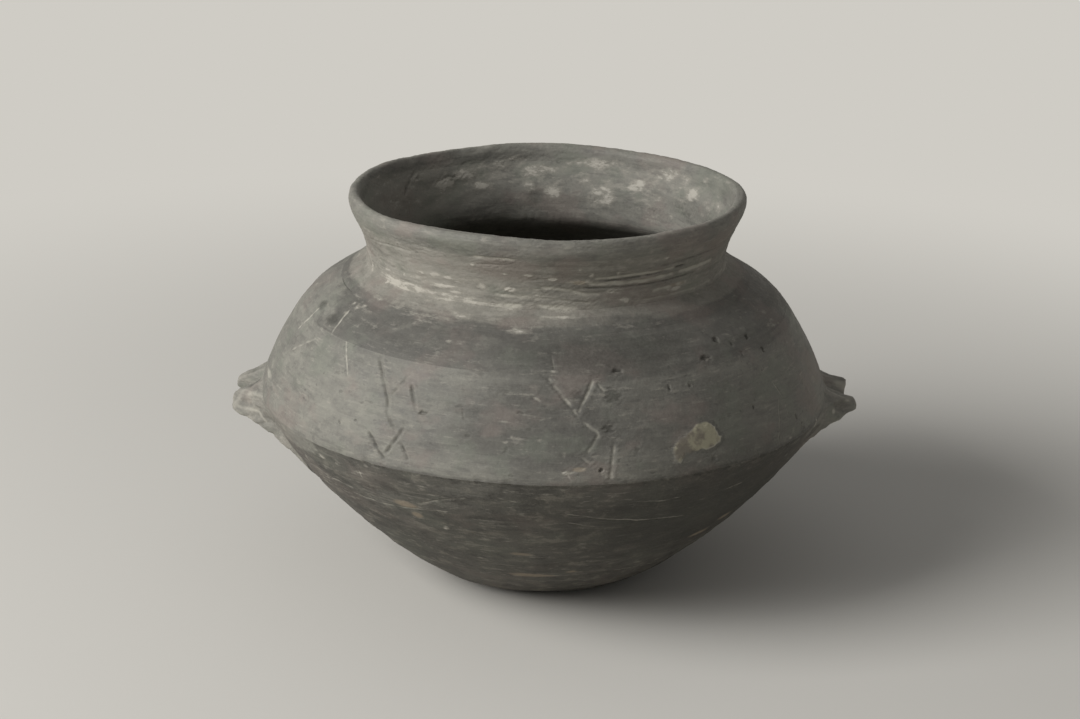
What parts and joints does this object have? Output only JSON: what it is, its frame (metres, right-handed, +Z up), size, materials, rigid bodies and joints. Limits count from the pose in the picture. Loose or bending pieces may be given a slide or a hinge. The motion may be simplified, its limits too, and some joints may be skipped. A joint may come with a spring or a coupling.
{
  "type": "two-lugged pottery jar",
  "caption": "Hand-built black pottery jar with a flared collar, a sharp carination and a pair of two-horned lugs.",
  "frame": {"origin": "centre of the flat base, on the surface that the jar stands on", "axes": "+Z up along the jar's axis; +X through the middle of the right lug; the front of the jar faces -Y"},
  "size_m": [0.2652, 0.24, 0.1657],
  "materials": {
    "smoked_ware": "matt",
    "rubbed_ware": "satin",
    "dark_band_ware": "satin",
    "limed_ware": "matt"
  },
  "bodies": {
    "root": {"base_disc": "smoked_ware", "lower_wall_coil_1": "smoked_ware", "lower_wall_coil_2": "smoked_ware", "belly_band": "rubbed_ware", "shoulder_band": "dark_band_ware", "shoulder_crown": "limed_ware", "neck_collar": "limed_ware", "rim_lip": "rubbed_ware", "lug_left": "rubbed_ware", "lug_right": "rubbed_ware"}
  },
  "joints": []
}
